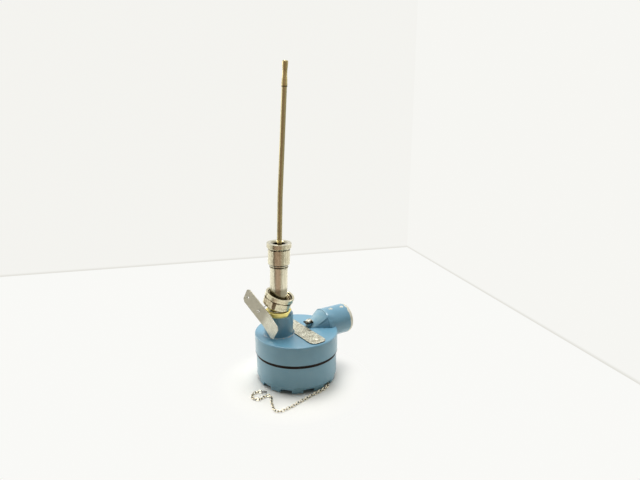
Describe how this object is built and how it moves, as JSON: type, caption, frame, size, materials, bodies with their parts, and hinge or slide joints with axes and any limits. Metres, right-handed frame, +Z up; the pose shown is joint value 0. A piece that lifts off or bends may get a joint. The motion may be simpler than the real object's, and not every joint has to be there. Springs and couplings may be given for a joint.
{
  "type": "temperature sensor",
  "caption": "Industrial temperature sensor: round connection head with screw cover and conduit entry, pipe nipple, open union and a long spring-loaded probe.",
  "frame": {"origin": "on the axis of the cover, in the plane of its notched rim, which it stands on", "axes": "+Z up along the cover's axis and the probe; +X to the right and +Y away, as the picture sees it"},
  "size_m": [0.1379, 0.1439, 0.3796],
  "materials": {
    "blue_paint": "grey-blue baked enamel, satin",
    "black_rubber": "black rubber",
    "yellow_metal": "yellow plated metal",
    "nickel": "plated, semi-bright",
    "bronzed_steel": "heat-tinted stainless steel",
    "white_ceramic": "pressed white oxide",
    "steel": "bright steel",
    "spring_steel": "drawn wire",
    "black_plastic": "black shrink sleeve",
    "red_insulation": "insulated wire",
    "brown_plastic": "moulded phenolic",
    "brass": "brass",
    "plate_steel": "dull stainless steel, blank",
    "chain_metal": "tarnished plated wire"
  },
  "bodies": {
    "cover_body": {"cover": "blue_paint", "cover_chain": "chain_metal", "chain_end_ring": "chain_metal", "chain_screw": "steel", "chain_eyelet": "steel"},
    "seal_body": {"cover_seal": "black_rubber"},
    "head_body": {"head_housing": "blue_paint", "stem_hub": "blue_paint", "lock_ring": "yellow_metal", "nipple": "nickel", "union_tailpiece": "nickel", "probe_spring": "spring_steel", "spring_seat": "steel", "stop_ring": "steel", "lead_wires": "red_insulation", "terminal_block": "brown_plastic", "terminal_clamps": "brass", "terminal_screws": "brass", "block_screws": "steel", "name_plate": "plate_steel", "name_plate_screws": "steel", "ground_screw": "steel", "ground_clamp": "steel", "tag_wire": "steel"},
    "probe_body": {"probe_sheath": "bronzed_steel", "probe_core": "white_ceramic", "probe_tip": "bronzed_steel", "sensing_element": "white_ceramic", "probe_collar": "steel", "lead_sleeve": "black_plastic"},
    "nut_body": {"union_nut": "nickel"},
    "tag_body": {"tag_plate": "plate_steel"}
  },
  "joints": [
    {"name": "cover_lift", "type": "slide", "parent": "cover_body", "child": "seal_body", "axis": [0, 0, 1], "range_m": [0, 0.0125]},
    {"name": "cover_turn", "type": "hinge", "parent": "seal_body", "child": "head_body", "pos_m": [0, 0, 0.0355], "axis": [0, 0, 1], "range_deg": [0, 1800]},
    {"name": "nut_slide", "type": "slide", "parent": "head_body", "child": "nut_body", "axis": [0.0279, 0, 0.9996], "range_m": [0, 0.031]},
    {"name": "tag_swing", "type": "hinge", "parent": "head_body", "child": "tag_body", "pos_m": [-0.04415, -0.01455, 0.09202], "axis": [-0.6954, -0.7102, -0.1097], "range_deg": [0, 70]},
    {"name": "probe_press", "type": "slide", "parent": "head_body", "child": "probe_body", "axis": [0.0279, 0, 0.9996], "range_m": [-0.01, 0], "stiffness_N_per_m": 1500, "springref_m": 0.005, "deforming": ["probe_spring", "lead_wires"]}
  ],
  "couplings": [
    {"joint": "cover_lift", "follows": "cover_turn", "m_per_rad": 0.0003978}
  ]
}
